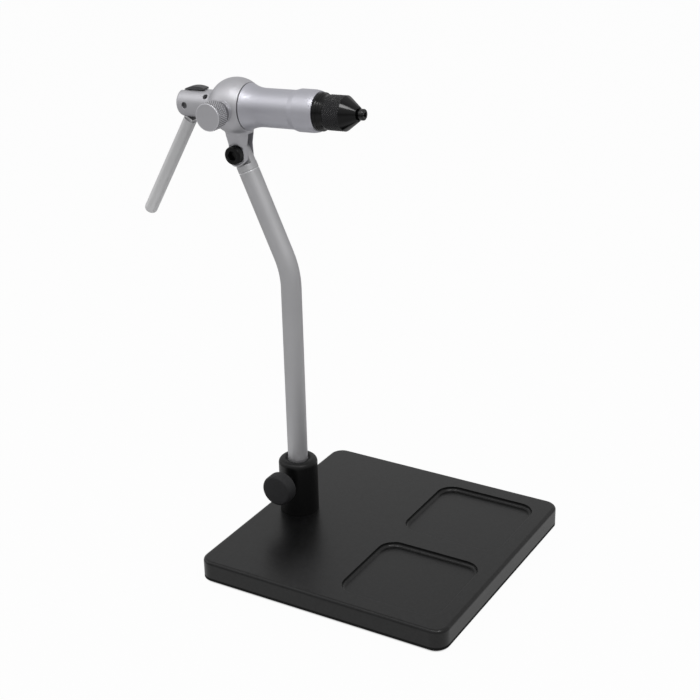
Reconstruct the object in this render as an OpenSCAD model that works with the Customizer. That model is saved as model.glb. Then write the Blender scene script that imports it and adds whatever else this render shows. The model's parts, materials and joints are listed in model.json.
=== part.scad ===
// Fly tying vise on a pedestal base: bent stem, tilting ball head, turning barrel and a draw-in
// collet worked by a lever. Millimetres, +Z up, +X is the way the collet points, -Y is the tyer's
// side. The origin is on the bench under the middle of the base.

/* [Base] */
// Width of the base plate along X
base_w = 152.4; // [142:0.1:175]
// Depth of the base plate along Y
base_d = 152.4; // [142:0.1:175]
// Thickness of the steel plate
base_t = 11.8; // [10:0.1:15]
// Radius of the plate's upright corners
base_corner_r = 8; // [5:0.5:14]
// Round along the plate's top edge
base_edge_r = 2; // [1:0.1:3]
// Thickness of the rubber pad under the plate
pad_t = 1.3; // [1:0.1:2.5]
// How far the pad stays inside the plate's edge
pad_inset = 1.8; // [0.8:0.1:3]

/* [Tray pockets] */
// Width of each pocket along X
pocket_w = 60.5; // [45:0.5:64]
// Depth of each pocket along Y
pocket_d = 58; // [45:0.5:61]
// How deep the pockets are sunk
pocket_depth = 2.5; // [2.1:0.1:4]
// Radius of the pockets' upright corners
pocket_corner_r = 10; // [6:0.5:14]
// Round where the pocket's wall meets its floor
pocket_floor_r = 1.8; // [1:0.1:2]
// Rim left between the pockets and the plate's +X edge
pocket_margin = 9.7; // [7:0.1:14]
// Land left between the two pockets
pocket_gap = 14.6; // [10:0.1:20]

/* [Post] */
// Diameter of the post
post_dia = 22.6; // [21:0.1:26]
// Height of the post above the plate
post_h = 33.5; // [30:0.1:42]
// Distance of the post's axis from the plate's -X edge
post_setback = 19.4; // [16:0.1:28]
// Round on the post's top edge
post_edge_r = 3; // [1.5:0.1:3.6]
// Solid foot of the post below its socket
post_foot = 7.5; // [6.5:0.1:9]
// Wall of the split liner in the socket
liner_wall = 0.8; // [0.6:0.05:1.1]
// Width of the liner's slit
liner_slit = 1.6; // [1:0.1:3]
// Thread size of the screw that holds the post
bolt_dia = 8; // [6:0.5:9]

/* [Clamp screw] */
// Height of the clamp screw above the plate
clamp_rise = 22.5; // [20:0.1:25]
// Diameter of the clamp knob
clamp_knob_dia = 18.4; // [15:0.1:22]
// Thickness of the clamp knob's head
clamp_knob_t = 8; // [6.5:0.1:11]
// Gap between the post and the knob's head
clamp_reach = 5.4; // [4:0.1:9]
// Thread size of the clamp stud
stud_dia = 6; // [5:0.1:7]
// Length of the brass tip on the stud
stud_tip_len = 1.6; // [1:0.1:2.4]

/* [Stem] */
// Diameter of the stem
stem_dia = 11.5; // [10:0.05:12]
// Height of the bend's corner above the plate
bend_rise = 148.5; // [120:0.5:170]
// Angle that the stem bends towards -X
bend_angle = 24.1; // [15:0.1:32]
// Bend radius on the stem's axis
bend_r = 45; // [30:0.5:70]
// Length from the bend's corner to the head's pivot
stem_upper = 70.2; // [55:0.1:90]
// Thickness of the flat tang on top of the stem
tang_t = 4.7; // [3.6:0.1:5.6]
// Distance from the pivot down to the tang's shoulder
shoulder_drop = 7; // [6.8:0.1:8.5]
// Distance from the pivot down to the tang fitting's seam
seam_drop = 10.5; // [10:0.1:14]

/* [Ball head] */
// Diameter of the ball
ball_dia = 30.5; // [29.5:0.1:33]
// Angle that the head's axis points up
head_tilt = 2.8; // [0:0.1:10]
// Distance from the pivot up to the middle of the ball
neck_len = 25.5; // [24:0.1:30]
// Diameter of the neck at the pivot
neck_dia = 13.1; // [12.6:0.1:13.6]
// Diameter of the neck under the ball
neck_root_dia = 15.2; // [14.4:0.1:16]
// Fillet between neck and ball
neck_fillet_r = 3; // [2:0.1:5]
// Height of the slot in the neck above the pivot
neck_slot_rise = 11; // [8.5:0.1:11.5]
// Distance of the ball's flat front face from its middle
face_s = 8.2; // [7.6:0.1:9]
// Diameter of the pivot screw's thread
pivot_dia = 6; // [5:0.1:6.6]
// Diameter of the pivot screw's head
pivot_head_dia = 10; // [8.5:0.1:10.4]
// Height of the pivot screw's head
pivot_head_h = 4.3; // [3.5:0.1:6.5]

/* [Tail] */
// Diameter of the tail
tail_dia = 15.2; // [14.6:0.1:16.4]
// Length of the tail from the middle of the ball
tail_len = 36; // [35.2:0.1:39]
// Fillet between tail and ball
tail_fillet_r = 5; // [3:0.1:6]
// Round on the tail's rear edge
tail_end_r = 2.6; // [1:0.1:3.4]
// Width of the lever's slot
tail_slot_w = 4.8; // [4.4:0.05:5.2]
// Distance of the grub screw behind the ball's middle
grub_back = 16.4; // [16.2:0.05:16.6]
// Diameter of the grub screw
grub_dia = 3; // [2.6:0.1:3.2]
// Angle of the grub screw above level
grub_angle = 42; // [25:1:65]

/* [Lock knob] */
// Diameter of the knurled lock knob
lock_dia = 15.6; // [13:0.1:18]
// Thickness of the lock knob
lock_t = 8.1; // [6:0.1:10]
// Number of teeth in the knob's straight knurl
lock_teeth = 44; // [30:1:54]
// Depth of the knurl
lock_tooth_h = 0.45; // [0.3:0.05:0.6]
// Diameter of the lock screw's thread
lock_thread_dia = 5; // [4:0.1:6]
// Diameter of the round boss on the ball
boss_dia = 12; // [11:0.1:16]
// Distance of the boss's face from the ball's middle
boss_reach = 16.4; // [15.6:0.1:18]
// Gap between the boss and the knob's rim
lock_gap = 3.3; // [2:0.1:5]

/* [Barrel] */
// Diameter of the barrel's waist
waist_dia = 20.6; // [19.6:0.1:21.6]
// Place along the axis where the flare from the ball ends
flare_end_s = 18.6; // [16:0.1:20]
// Radius of the flare's curve
flare_r = 22; // [16:0.5:40]
// Place where the front ring starts to rise
ring_start_s = 37.6; // [34:0.1:38.5]
// Length of the rise to the front ring
ring_rise_len = 3.4; // [2:0.1:4.5]
// Diameter of the front ring
ring_dia = 22.5; // [21.8:0.1:24]
// Place where the ring starts to round over
nose_start_s = 48.4; // [46:0.1:48.6]
// Place of the barrel's front face
nose_s = 52.6; // [52:0.1:53.6]
// Radius of the round over
nose_r = 13; // [12:0.5:30]
// Diameter of the journal that turns inside the ball
journal_dia = 10.4; // [9.6:0.1:10.6]
// Thickness of the thrust washer
washer_t = 0.3; // [0.2:0.05:0.6]

/* [Collet nut] */
// Diameter of the nut's plain ring
nut_ring_dia = 20.2; // [19.4:0.1:20.6]
// Place where the plain ring starts to narrow
nut_taper_s = 54.9; // [54:0.1:55.8]
// Place where the plain ring ends
nut_ring_end_s = 57; // [56:0.1:57.4]
// Depth of the groove behind the knurl
nut_groove_h = 0.6; // [0.3:0.05:1]
// Place where the knurled band starts
knurl_start_s = 58.2; // [57.5:0.1:59]
// Place where the knurled band ends
knurl_end_s = 68.2; // [66:0.1:68.5]
// Diameter over the knurl
knurl_dia = 18.7; // [17.8:0.1:19.6]
// Place of the nut's front face
nut_face_s = 75.4; // [74.6:0.1:76]
// Diameter of the nut's front face
nut_face_dia = 7.8; // [7.4:0.1:9]
// Diameter of the threaded spigot that screws into the barrel
spigot_dia = 15; // [14:0.1:16]
// Length of that spigot
spigot_len = 9; // [7:0.1:10]

/* [Collet] */
// Place of the collet's front end at rest
collet_end_s = 79; // [78.4:0.1:80]
// Diameter of the collet's front end
collet_end_dia = 6; // [5.5:0.05:6.1]
// Diameter of the collet's fingers behind the taper
finger_dia = 4.6; // [4.4:0.05:4.8]
// Diameter of the bore that holds the hook or pin
collet_bore_dia = 2.4; // [1.6:0.05:2.5]
// Depth of that bore
collet_bore_len = 20; // [15:0.5:24]
// Width of the slits between the fingers
slit_w = 0.5; // [0.3:0.05:0.6]
// Number of fingers
fingers = 3; // [2:1:4]
// Diameter of the collet's shank
shank_dia = 9.2; // [8.8:0.05:9.6]
// Diameter of the draw bar
drawbar_dia = 5; // [4.4:0.1:5.2]

/* [Lever] */
// Distance of the lever's pin behind the ball's middle
pin_back = 29.6; // [29.4:0.1:30]
// Diameter of the lever's pin
pin_dia = 3.5; // [3:0.1:3.6]
// Angle that the lever leans back from square to the head
lever_lean = 32.8; // [30:0.1:35]
// Distance of the lever's axis in front of the pin
lever_offset = 3.1; // [2.9:0.1:3.4]
// Diameter of the lever rod
lever_dia = 7.4; // [6.4:0.05:7.5]
// Length from the pin to the lever's end
lever_reach = 75.7; // [55:0.1:95]
// Round on the lever's end
lever_end_r = 2.6; // [1:0.1:2.7]
// Distance of the draw pin from the lever's pin
draw_throw = 4.2; // [4:0.05:4.4]
// Diameter of the draw pin
draw_pin_dia = 2.5; // [2:0.1:2.7]
// Turn of the lever from rest to clamped
swing_close = 20; // [10:1:20]
// Turn of the lever from rest to open
swing_open = 45; // [30:1:45]

/* [Return spring] */
// Wire of the return spring
wire_dia = 0.8; // [0.6:0.05:0.9]
// Number of curls in the spring
curls = 8; // [5:0.5:10]

/* [Fits] */
// Radial gap of turning and sliding fits
run_gap = 0.05; // [0.03:0.01:0.08]
// Radial gap of parts that are fixed to each other
fix_gap = 0.02; // [0.01:0.005:0.03]
// Gap between faces that move past each other
face_gap = 0.1; // [0.05:0.01:0.15]

/* [Hidden] */
$fn = 96;
far = 60;
base_top = pad_t + base_t;
stem_x = post_setback - base_w / 2;
stem_r = stem_dia / 2;
liner_in_r = stem_r + run_gap - 0.01;
liner_out_r = liner_in_r + liner_wall;
socket_r = liner_out_r + run_gap;
socket_floor = base_top + post_foot;
post_top = base_top + post_h;
mouth_flare = 0.9;
clamp_z = base_top + clamp_rise;
clamp_hub_r = 4.6;
clamp_hub_len = 2.4;
clamp_face = post_dia / 2 + clamp_reach;
clamp_edge_r = 1.6;
stud_r = stud_dia / 2 - run_gap;
bolt_head_h = bolt_dia / 2;
bolt_sink = 0.3;
bolt_grip = post_foot - 1;
bend_z = base_top + bend_rise;
bend_tangent = bend_r * tan(bend_angle / 2);
seam_bevel = 0.45;
upper_straight = stem_upper - bend_tangent - seam_drop;
pivot_x = stem_x - stem_upper * sin(bend_angle);
pivot_z = bend_z + stem_upper * cos(bend_angle);
ball_x = pivot_x - neck_len * sin(head_tilt);
ball_z = pivot_z + neck_len * cos(head_tilt);
ball_r = ball_dia / 2;
tang_spigot_r = 3.4;
tang_spigot_len = 11;
neck_r = neck_dia / 2;
neck_sink = 0.02;
neck_root_drop = sqrt(pow(ball_r + neck_fillet_r, 2) - pow(neck_root_dia / 2 + neck_fillet_r, 2)) + 0.3;
neck_straight_drop = 20.5;
neck_slot_w = tang_t + 2 * face_gap;
pivot_seat = neck_r - 1.8;
pivot_recess_r = pivot_head_dia / 2 + 0.8;
tail_r = tail_dia / 2;
journal_r = journal_dia / 2;
journal_end_s = -18;
slot_end_s = journal_end_s - 1.6;
groove_depth = 0.8;
dog_r = 0.9;
groove_half = dog_r + 0.2;
drawbar_r = drawbar_dia / 2;
draw_way_r = drawbar_r + run_gap;
lock_r = lock_dia / 2;
lock_thread_r = lock_thread_dia / 2;
lock_pad_len = 2.6;
lock_hub_r = 4.6;
lock_hub_gap = 0.6;
lock_chamfer = 0.6;
waist_r = waist_dia / 2;
ring_r = ring_dia / 2;
washer_s = face_s + face_gap;
flange_s = washer_s + washer_t + face_gap;
spring_room_s = 14.5;
spring_room_r = shank_dia / 2 + 1;
spigot_r = spigot_dia / 2;
spigot_floor_s = nose_s - spigot_len - face_gap;
shank_r = shank_dia / 2;
guide_r = shank_r + run_gap;
collet_rear_s = 37;
cup_r = shank_r - 1.2;
ring_cap_len = 3;
button_len = 3;
button_r = cup_r - 0.3;
cup_floor_s = collet_rear_s + ring_cap_len + button_len + 2 * face_gap;
stud_end_r = 1.75;
shank_end_s = 58;
guide_end_s = shank_end_s + 3.6;
finger_r = finger_dia / 2;
collet_end_r = collet_end_dia / 2;
taper_start_s = collet_end_s - 6.4;
taper_end_s = collet_end_s - 1.2;
seat_gap = 0.4;
slit_end_s = 59.5;
key_r = 1;
key_s = 41;
key_depth = 0.65;
key_travel_back = 5;
key_travel_front = 2.8;
wire_r = wire_dia / 2;
coil_r = 4.1;
spring_start_s = spring_room_s + wire_r + 0.3;
spring_end_s = collet_rear_s - wire_r - 0.3;
swing_mid = (swing_open - swing_close) / 2;
pin_r = pin_dia / 2;
draw_pin_r = draw_pin_dia / 2;
draw_pin_x = -draw_throw * sin(swing_mid + lever_lean);
draw_pin_z = draw_throw * cos(swing_mid + lever_lean);
yoke_half = tail_slot_w / 2 - face_gap;
blade_half = 0.9;
tongue_half = sqrt(drawbar_r * drawbar_r - blade_half * blade_half) - 0.1;
yoke_gap_half = blade_half + face_gap;
yoke_bridge = 3.5;
yoke_drop = 9;
yoke_foot_w = 5.2;
yoke_stub_r = 1.5;
yoke_hub_r = 4.4;
blade_low = pin_r + 0.5;
blade_top = 7;
web_front = 23;
web_back = 26;
blade_end = 33.4;
cap_low = tail_r + face_gap;
cap_top = tail_r + 1.9;
cap_r = 17.5;
cap_mid = 24.8;
cap_back = 32;
cap_front = 3.35 + sqrt(pow(ball_r + tail_fillet_r, 2) - pow(tail_r + tail_fillet_r, 2));

// Frame of the head: X along the collet's axis, Z square to it, origin in the middle of the ball
module at_head() {
    translate([ball_x, 0, ball_z]) rotate([0, -head_tilt, 0]) children();
}

// Frame of the stem's top: Z up along the bent part, origin on the head's pivot
module at_pivot() {
    translate([pivot_x, 0, pivot_z]) rotate([0, -bend_angle, 0]) children();
}

// Frame of the stem where its bend ends: Z up along the bent part
module at_bend_end() {
    translate([stem_x - bend_r, 0, bend_z - bend_tangent]) rotate([0, -bend_angle, 0])
        translate([bend_r, 0, 0]) children();
}

// Frame of the lever: Z up along the rod, origin on the lever's pin
module at_lever() {
    at_head() translate([-pin_back, 0, 0]) rotate([0, lever_lean, 0]) children();
}

// Turned shape along X: the outline's x is the radius and its y the place along the axis
module turned_x() {
    rotate([0, 90, 0]) rotate_extrude() children();
}

// Turned shape along -Y: the outline's x is the radius and its y the distance towards the tyer
module turned_y() {
    rotate([90, 0, 0]) rotate_extrude() children();
}

// Round bar along -Y between two distances towards the tyer
module bar_y(r, from, to) {
    translate([0, -from, 0]) rotate([90, 0, 0]) cylinder(r = r, h = to - from);
}

// Round bar along X between two places
module bar_x(r, from, to) {
    translate([from, 0, 0]) rotate([0, 90, 0]) cylinder(r = r, h = to - from);
}

// Outline band between two radii and two places along an axis
module band(r0, r1, from, to) {
    translate([r0, from]) square([r1 - r0, to - from]);
}

// Outline from the axis out to a side, with the corner at its top rounded
module rounded_top(r, from, to, edge) {
    band(0, r - edge, from, to);
    band(0, r, from, to - edge);
    intersection() {
        translate([r - edge, to - edge]) circle(edge);
        band(0, r, from, to);
    }
}

// Slab with round upright corners and a rounded top edge, standing on z = 0
module slab(w, d, h, corner, edge) {
    rotate([90, 0, 0]) linear_extrude(d - 2 * corner, center = true) slab_side(w, h, edge);
    rotate([90, 0, 90]) linear_extrude(w - 2 * corner, center = true) slab_side(d, h, edge);
    for (sx = [-1, 1], sy = [-1, 1])
        translate([sx * (w / 2 - corner), sy * (d / 2 - corner), 0])
            rotate_extrude() rounded_top(corner, 0, h, edge);
}

// Side view of that slab
module slab_side(w, h, edge) {
    rounded_top(w / 2, 0, h, edge);
    mirror([1, 0]) rounded_top(w / 2, 0, h, edge);
}

// Plate with round upright corners
module round_plate(w, d, h, corner) {
    linear_extrude(h) {
        square([w - 2 * corner, d], center = true);
        square([w, d - 2 * corner], center = true);
        for (sx = [-1, 1], sy = [-1, 1])
            translate([sx * (w / 2 - corner), sy * (d / 2 - corner)]) circle(corner);
    }
}

// Fillet in an outline between a ball on the axis and a straight side, on the side of -y
module ball_fillet(ball, side, fillet) {
    mid_r = side + fillet;
    mid_s = -sqrt(pow(ball + fillet, 2) - pow(mid_r, 2));
    on_ball = ball / (ball + fillet);
    difference() {
        polygon([[side - 1, mid_s], [mid_r, mid_s], [mid_r * on_ball, mid_s * on_ball],
            [side - 1, mid_s * on_ball]]);
        translate([mid_r, mid_s]) circle(fillet);
    }
}

// Heavy steel plate with the two tray pockets and the countersunk hole of the post's screw
module base_plate() {
    lip = 1;
    color("#3a3a3c") difference() {
        translate([0, 0, pad_t]) slab(base_w, base_d, base_t, base_corner_r, base_edge_r);
        for (side = [-1, 1])
            translate([base_w / 2 - pocket_margin - pocket_w / 2, side * (pocket_gap + pocket_d) / 2,
                base_top + lip])
                rotate([180, 0, 0])
                    slab(pocket_w, pocket_d, pocket_depth + lip, pocket_corner_r, pocket_floor_r);
        translate([stem_x, 0, pad_t]) rotate_extrude() bolt_hole();
    }
}

// Outline of the countersunk hole
module bolt_hole() {
    band(0, bolt_dia / 2 + fix_gap, -1, base_t + 1);
    polygon([[0, -1], [bolt_dia + run_gap, -1], [bolt_dia + run_gap, bolt_sink],
        [bolt_dia / 2 + run_gap, bolt_sink + bolt_head_h], [0, bolt_sink + bolt_head_h]]);
}

// Rubber sheet glued under the plate
module base_pad() {
    color("#1c1c1c") round_plate(base_w - 2 * pad_inset, base_d - 2 * pad_inset, pad_t,
        base_corner_r - pad_inset);
}

// Round post with a blind socket for the stem
module post() {
    color("#202022") difference() {
        translate([stem_x, 0, base_top]) rotate_extrude() difference() {
            rounded_top(post_dia / 2, 0, post_h, post_edge_r);
            band(0, socket_r, post_foot, post_h + 1);
            polygon([[0, post_h - mouth_flare], [socket_r, post_h - mouth_flare],
                [socket_r + mouth_flare, post_h], [socket_r + mouth_flare, post_h + 1],
                [0, post_h + 1]]);
            band(0, bolt_dia / 2 + fix_gap, -1, bolt_grip + face_gap);
        }
        translate([stem_x, 0, clamp_z]) bar_y(stud_dia / 2, 0, post_dia);
    }
}

// Countersunk screw that holds the post from below
module post_bolt() {
    socket_dia = bolt_dia * 0.7;
    color("#2a2a2a") translate([stem_x, 0, pad_t + bolt_sink]) difference() {
        rotate_extrude() polygon([[0, 0], [bolt_dia, 0], [bolt_dia / 2, bolt_head_h],
            [bolt_dia / 2, base_t - bolt_sink + bolt_grip], [0, base_t - bolt_sink + bolt_grip]]);
        translate([0, 0, -1]) cylinder(d = socket_dia, h = bolt_head_h, $fn = 6);
    }
}

// Split plastic liner that grips the stem and turns with it in the post
module post_liner() {
    color("#2b2b30") difference() {
        translate([stem_x, 0, 0]) rotate_extrude()
            band(liner_in_r, liner_out_r, socket_floor + 2 * face_gap, post_top - mouth_flare);
        translate([stem_x - liner_slit / 2, 0, 0]) cube([liner_slit, far, post_top]);
    }
}

// Plain round plastic knob of the clamp screw
module clamp_knob() {
    grip = clamp_knob_t - 2.5;
    color("#232325") translate([stem_x, 0, clamp_z]) turned_y() difference() {
        union() {
            band(0, clamp_hub_r, clamp_face - clamp_hub_len, clamp_face + 1);
            intersection() {
                rounded_top(clamp_knob_dia / 2, clamp_face, clamp_face + clamp_knob_t, clamp_edge_r);
                translate([0, 2 * clamp_face + clamp_knob_t]) mirror([0, 1])
                    rounded_top(clamp_knob_dia / 2, clamp_face, clamp_face + clamp_knob_t,
                        clamp_edge_r);
            }
        }
        band(0, stud_r + fix_gap, 0, clamp_face + grip);
    }
}

// Threaded stud moulded into the knob
module clamp_stud() {
    grip = clamp_knob_t - 2.5;
    color("#8d8d90") translate([stem_x, 0, clamp_z])
        bar_y(stud_r, socket_r + stud_tip_len, clamp_face + grip);
}

// Soft brass tip that presses on the liner
module clamp_tip() {
    color("#b08d45") translate([stem_x, 0, clamp_z])
        bar_y(stud_r, socket_r, socket_r + stud_tip_len);
}

// Bent round stem with a socket in its bevelled top end; bending draws the bar a hair thinner,
// and the bend laps a little way into both straights
module stem() {
    lap = 0.4;
    bend_thin = 0.02;
    color("#a9a9ad") difference() {
        union() {
            translate([stem_x, 0, socket_floor + face_gap])
                cylinder(r = stem_r, h = bend_z - bend_tangent - socket_floor - face_gap);
            translate([stem_x - bend_r, 0, bend_z - bend_tangent]) rotate([90, lap, 0])
                rotate_extrude(angle = bend_angle + 2 * lap) translate([bend_r, 0])
                    circle(stem_r - bend_thin);
            at_bend_end() rotate_extrude() polygon([[0, 0], [stem_r, 0],
                [stem_r, upper_straight - seam_bevel], [stem_r - seam_bevel, upper_straight],
                [0, upper_straight]]);
        }
        at_bend_end() translate([0, 0, upper_straight - tang_spigot_len - 1])
            cylinder(r = tang_spigot_r + fix_gap, h = far);
    }
}

// End fitting of the stem: a spigot, a round collar and the flat tang that carries the head
module stem_tang() {
    color("#a2a2a6") at_pivot() difference() {
        union() {
            translate([0, 0, -seam_drop]) cylinder(r = stem_r, h = seam_drop - shoulder_drop);
            translate([0, 0, -seam_drop - tang_spigot_len])
                cylinder(r = tang_spigot_r, h = tang_spigot_len + 1);
            intersection() {
                translate([0, 0, -shoulder_drop - 1]) cylinder(r = stem_r, h = 2 * shoulder_drop);
                rotate([90, 0, 0]) linear_extrude(tang_t, center = true) {
                    translate([-stem_r, -shoulder_drop - 1]) square([stem_dia, shoulder_drop + 1]);
                    circle(stem_r);
                }
            }
        }
        bar_y(pivot_dia / 2 + run_gap, -far, far);
    }
}

// Outline of the ball with its flat front face and the tail behind it
module ball_outline() {
    intersection() {
        circle(ball_r);
        band(0, ball_r + 1, -ball_r - 1, face_s);
    }
    mirror([0, 1]) rounded_top(tail_r, 0, tail_len, tail_end_r);
    ball_fillet(ball_r, tail_r, tail_fillet_r);
}

// Outline of the neck under the ball, tapering to the pivot
module neck_outline() {
    root_r = neck_root_dia / 2;
    bottom = -neck_len - neck_r;
    polygon([[0, 0], [root_r, 0], [root_r, -neck_root_drop], [neck_r, -neck_straight_drop],
        [neck_r, bottom], [0, bottom]]);
    ball_fillet(ball_r - neck_sink, root_r, neck_fillet_r);
}

// Ball housing in one piece with its tail, its forked neck and the boss of the lock screw
module head_housing() {
    color("#a8a8ae") at_head() difference() {
        union() {
            turned_x() ball_outline();
            intersection() {
                rotate_extrude() neck_outline();
                rotate([90, 0, 0]) linear_extrude(far, center = true) {
                    translate([-ball_r, -neck_len]) square([ball_dia, neck_len]);
                    translate([0, -neck_len]) circle(neck_r);
                }
            }
            bar_y(boss_dia / 2, 0, boss_reach);
        }
        translate([face_s, -far, -far]) cube(2 * far);
        bar_x(journal_r + run_gap, journal_end_s - face_gap, far);
        bar_x(draw_way_r, -far, 0);
        translate([-far, -tail_slot_w / 2, -far / 2]) cube([far + slot_end_s, tail_slot_w, far]);
        translate([-pin_back, 0, 0]) bar_y(pin_r + fix_gap, -far, far);
        bar_y(lock_thread_r + run_gap, 0, far);
        translate([-grub_back, 0, 0]) rotate([90 - grub_angle, 0, 0])
            cylinder(r = grub_dia / 2 + fix_gap, h = far);
        translate([-far / 2, -neck_slot_w / 2, -neck_len - far])
            cube([far, neck_slot_w, far + neck_slot_rise]);
        translate([0, 0, -neck_len]) {
            bar_y(pivot_dia / 2 + fix_gap, -far, far);
            bar_y(pivot_recess_r, pivot_seat, far);
        }
    }
}

// Socket head cap screw that the head tilts on
module pivot_screw() {
    crown = pivot_seat + pivot_head_h;
    key = pivot_head_h * 0.55;
    color("#1a1a1b") at_head() translate([0, 0, -neck_len]) difference() {
        turned_y() {
            band(0, pivot_dia / 2, 0.5 - neck_r, pivot_seat + 1);
            rounded_top(pivot_head_dia / 2, pivot_seat, crown, 0.5);
        }
        translate([0, -crown + key, 0]) rotate([90, 0, 0])
            cylinder(d = pivot_head_dia * 0.58, h = far, $fn = 6);
    }
}

// Thin plastic washer between ball and barrel
module thrust_washer() {
    color("#1d1d1f") at_head() turned_x()
        band(journal_r + 2 * run_gap, sqrt(ball_r * ball_r - face_s * face_s) - 0.8, washer_s,
            washer_s + washer_t);
}

// Outside of the barrel: flared flange, waist, front ring and rounded nose
module barrel_outline() {
    band(0, waist_r, flange_s, nose_s - 2);
    difference() {
        band(waist_r - 1, ball_r, flange_s, flare_end_s);
        translate([waist_r + flare_r, flare_end_s]) circle(flare_r, $fn = 200);
    }
    polygon([[0, ring_start_s], [waist_r, ring_start_s], [ring_r, ring_start_s + ring_rise_len],
        [ring_r, nose_start_s], [0, nose_start_s]]);
    intersection() {
        band(0, ring_r, nose_start_s - 1, nose_s);
        translate([ring_r - nose_r, nose_start_s]) circle(nose_r, $fn = 200);
    }
    band(0, journal_r, journal_end_s, flange_s + 1);
}

// Barrel that turns in the ball, with the spring's room and the nut's thread inside
module barrel() {
    color("#aaaab0") at_head() difference() {
        turned_x() difference() {
            barrel_outline();
            band(0, draw_way_r, journal_end_s - 1, nose_s);
            band(0, spring_room_r, spring_room_s, nose_s);
            band(0, spigot_r + run_gap, spigot_floor_s, nose_s + 1);
            band(journal_r - groove_depth, journal_r + 1, -grub_back - groove_half,
                -grub_back + groove_half);
        }
        translate([key_s, 0, 0]) bar_y(key_r + fix_gap, -far, 0);
    }
}

// Dowel in the barrel that keeps the collet from turning by itself
module key_pin() {
    color("#8f8f93") at_head() translate([key_s, 0, 0])
        bar_y(key_r, 0.5 - ring_r, key_depth - shank_r - 3 * run_gap);
}

// Dog point grub screw whose tip runs in the journal's groove
module retaining_grub() {
    tip = journal_r - groove_depth + face_gap;
    crown = tail_r - 0.9;
    color("#1c1c1d") at_head() translate([-grub_back, 0, 0]) rotate([90 - grub_angle, 0, 0])
        difference() {
            union() {
                translate([0, 0, tip]) cylinder(r = dog_r, h = crown - tip);
                translate([0, 0, journal_r + 0.2]) cylinder(d = grub_dia, h = crown - journal_r - 0.2);
            }
            translate([0, 0, crown - 0.8]) cylinder(d = grub_dia * 0.6, h = 2, $fn = 6);
        }
}

// Knurled thumb screw that brakes and locks the barrel
module lock_knob() {
    rim = boss_reach + lock_gap;
    crown = rim + lock_t;
    slope = lock_chamfer + 1;
    step = 180 / lock_teeth;
    color("#acacb0") at_head() {
        turned_y() band(0, lock_thread_r, journal_r + run_gap + lock_pad_len, rim + 1);
        turned_y() band(0, lock_hub_r, boss_reach + lock_hub_gap, rim + 1);
        intersection() {
            turned_y() polygon([[0, rim], [lock_r - lock_chamfer, rim], [lock_r + 1, rim + slope],
                [lock_r + 1, crown - slope], [lock_r - lock_chamfer, crown], [0, crown]]);
            translate([0, 1 - rim, 0]) rotate([90, 0, 0]) linear_extrude(lock_t + 2)
                polygon([for (i = [0:2 * lock_teeth - 1])
                    (lock_r - (i % 2) * lock_tooth_h) * [cos(i * step), sin(i * step)]]);
        }
    }
}

// Brake pad between the thumb screw and the journal
module lock_pad() {
    color("#b08d45") at_head() bar_y(lock_thread_r, journal_r + run_gap,
        journal_r + run_gap + lock_pad_len);
}

// Black nose nut: threaded spigot, plain ring, knurled band and cone
module collet_nut() {
    ring_r0 = nut_ring_dia / 2;
    knurl_r = knurl_dia / 2;
    groove_r = knurl_r - nut_groove_h;
    edge = 0.4;
    taper = (collet_end_r - finger_r) / (taper_end_s - taper_start_s);
    seat_r0 = finger_r + seat_gap;
    seat_r1 = seat_r0 + taper * (nut_face_s - taper_start_s);
    color("#1b1b1c") at_head() turned_x() difference() {
        union() {
            band(0, spigot_r, nose_s - spigot_len, nose_s + 1);
            polygon([[0, nose_s + face_gap], [ring_r0 - edge, nose_s + face_gap],
                [ring_r0, nose_s + face_gap + edge], [ring_r0, nut_taper_s],
                [groove_r, nut_ring_end_s], [groove_r, knurl_start_s - edge],
                [knurl_r, knurl_start_s + edge], [knurl_r, knurl_end_s],
                [nut_face_dia / 2, nut_face_s], [0, nut_face_s]]);
        }
        band(0, guide_r, nose_s - spigot_len - 1, guide_end_s);
        polygon([[0, guide_end_s - 1], [seat_r0, guide_end_s - 1], [seat_r0, taper_start_s],
            [seat_r1, nut_face_s], [seat_r1, nut_face_s + 1], [0, nut_face_s + 1]]);
    }
}

// Split draw-in collet: shank with a cup behind, thin fingers and a taper that grows to the front
module collet() {
    color("#151516") at_head() difference() {
        turned_x() difference() {
            union() {
                band(0, shank_r, collet_rear_s, shank_end_s);
                polygon([[0, shank_end_s - 1], [finger_r, shank_end_s - 1], [finger_r, taper_start_s],
                    [collet_end_r, taper_end_s], [0, taper_end_s]]);
                rounded_top(collet_end_r, taper_end_s - 1, collet_end_s, 0.8);
            }
            band(0, cup_r, collet_rear_s - 1, cup_floor_s);
            band(0, collet_bore_dia / 2, collet_end_s - collet_bore_len, collet_end_s + 1);
        }
        for (i = [0:fingers - 1])
            rotate([90 + i * 360 / fingers, 0, 0]) translate([slit_end_s, -slit_w / 2, 0])
                cube([far, slit_w, far]);
        translate([key_s - key_travel_back, shank_r - key_depth, -key_r - run_gap])
            cube([key_travel_back + key_travel_front, far, 2 * (key_r + run_gap)]);
    }
}

// Ring that closes the collet's cup behind the draw button
module swivel_ring() {
    color("#77777a") at_head() turned_x()
        band(drawbar_r + run_gap, cup_r - fix_gap, collet_rear_s, collet_rear_s + ring_cap_len);
}

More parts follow.
